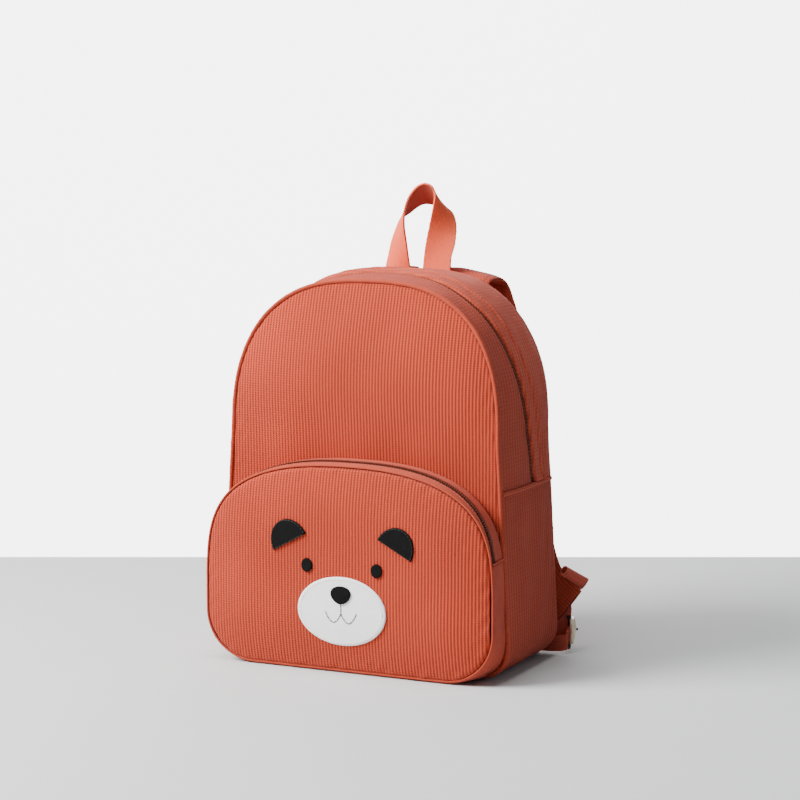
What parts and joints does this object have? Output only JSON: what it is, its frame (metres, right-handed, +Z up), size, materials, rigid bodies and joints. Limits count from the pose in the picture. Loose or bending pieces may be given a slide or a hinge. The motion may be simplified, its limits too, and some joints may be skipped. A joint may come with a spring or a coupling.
{
  "type": "kids animal backpack",
  "caption": "Child's backpack in ribbed rust cloth with a zipped main compartment, a domed front pocket with a felt bear face, a webbing handle and two shoulder straps.",
  "frame": {"origin": "on the flat underside, in the middle of the body's width and depth", "axes": "+Z up to the handle, -Y the front with the pocket, +X to the right as the front is looked at"},
  "size_m": [0.2798, 0.1829, 0.3747],
  "materials": {
    "rib_cloth": "matte ribbed cotton",
    "webbing": "matte woven webbing",
    "zip_tape": "matte woven tape with coil",
    "slider_black": "satin",
    "white_felt": "matte felt",
    "black_felt": "matte felt",
    "pale_gold": "satin pale gold",
    "bar_black": "matte"
  },
  "bodies": {
    "root": {"front_panel": "rib_cloth", "front_piping": "rib_cloth", "zip_band_front": "rib_cloth", "main_zip": "zip_tape", "zip_flap": "rib_cloth", "zip_band_back": "rib_cloth", "base_band": "rib_cloth", "side_hem_right": "rib_cloth", "side_hem_left": "rib_cloth", "back_panel": "rib_cloth", "back_piping": "rib_cloth", "pocket_panel": "rib_cloth", "pocket_band_front": "rib_cloth", "pocket_zip": "zip_tape", "pocket_band_back": "rib_cloth", "pocket_gusset": "rib_cloth", "main_slider": "slider_black", "pocket_slider": "slider_black", "handle": "webbing", "muzzle": "white_felt", "nose": "black_felt", "eye_right": "black_felt", "eye_left": "black_felt", "ear_right": "black_felt", "ear_left": "black_felt", "strap_right": "rib_cloth", "adjuster_web_right": "webbing", "lock_web_right": "webbing", "tail_web_right": "webbing", "buckle_frame_right": "pale_gold", "buckle_bar_right": "bar_black", "strap_left": "rib_cloth", "adjuster_web_left": "webbing", "lock_web_left": "webbing", "tail_web_left": "webbing", "buckle_frame_left": "pale_gold", "buckle_bar_left": "bar_black"}
  },
  "joints": []
}
